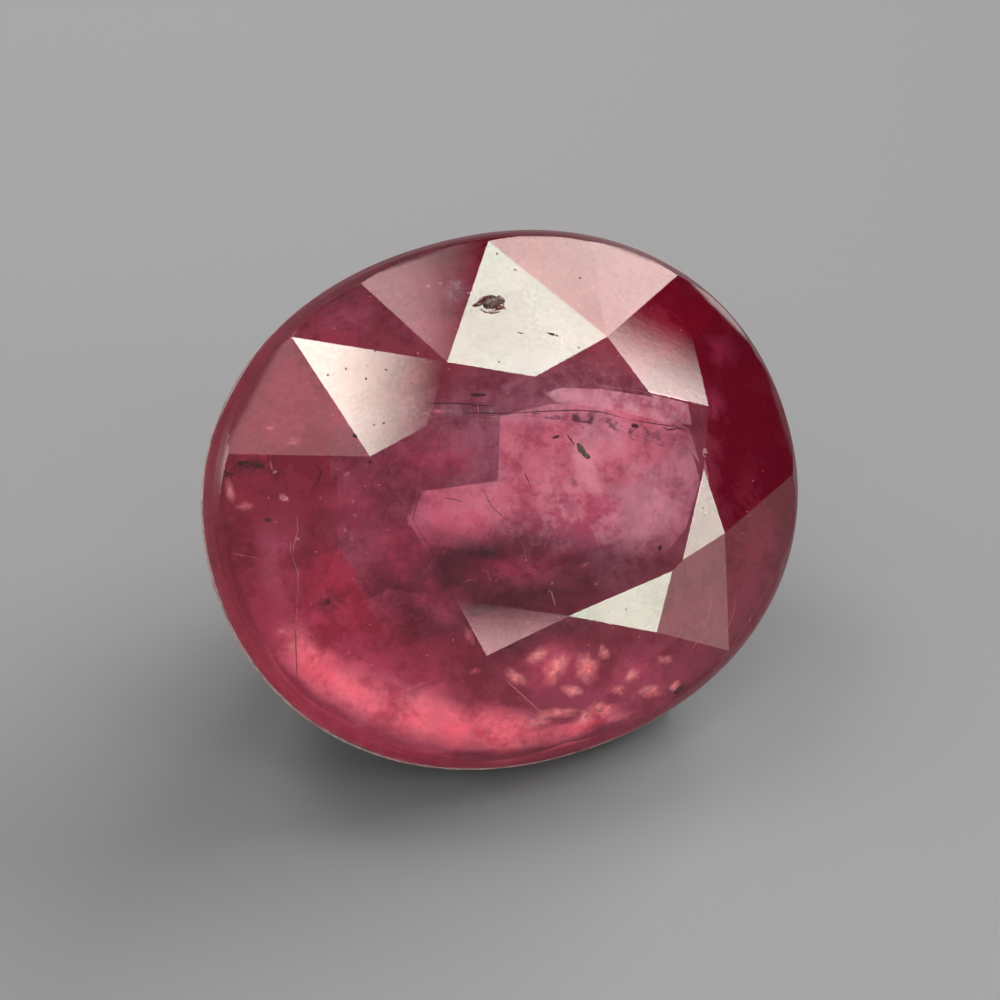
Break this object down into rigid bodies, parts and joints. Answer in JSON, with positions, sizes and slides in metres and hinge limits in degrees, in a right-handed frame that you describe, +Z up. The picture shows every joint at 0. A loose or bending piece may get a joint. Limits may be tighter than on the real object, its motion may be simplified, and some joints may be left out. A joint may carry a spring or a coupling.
{
  "type": "rubellite tourmaline gemstone",
  "caption": "Loose oval mixed-cut rubellite tourmaline lying on a side facet of its pavilion, to look at or to set in a mount.",
  "frame": {"origin": "middle of the stone's box, on the surface it lies on", "axes": "+Z up from that surface, +X towards the raised right end of the long axis, -Y towards the viewer that the table faces"},
  "size_m": [0.011, 0.0088, 0.0073],
  "materials": {
    "rubellite": "polished crown, softer polish on pavilion and girdle"
  },
  "bodies": {
    "root": {"rubellite_stone": "rubellite"}
  },
  "joints": []
}
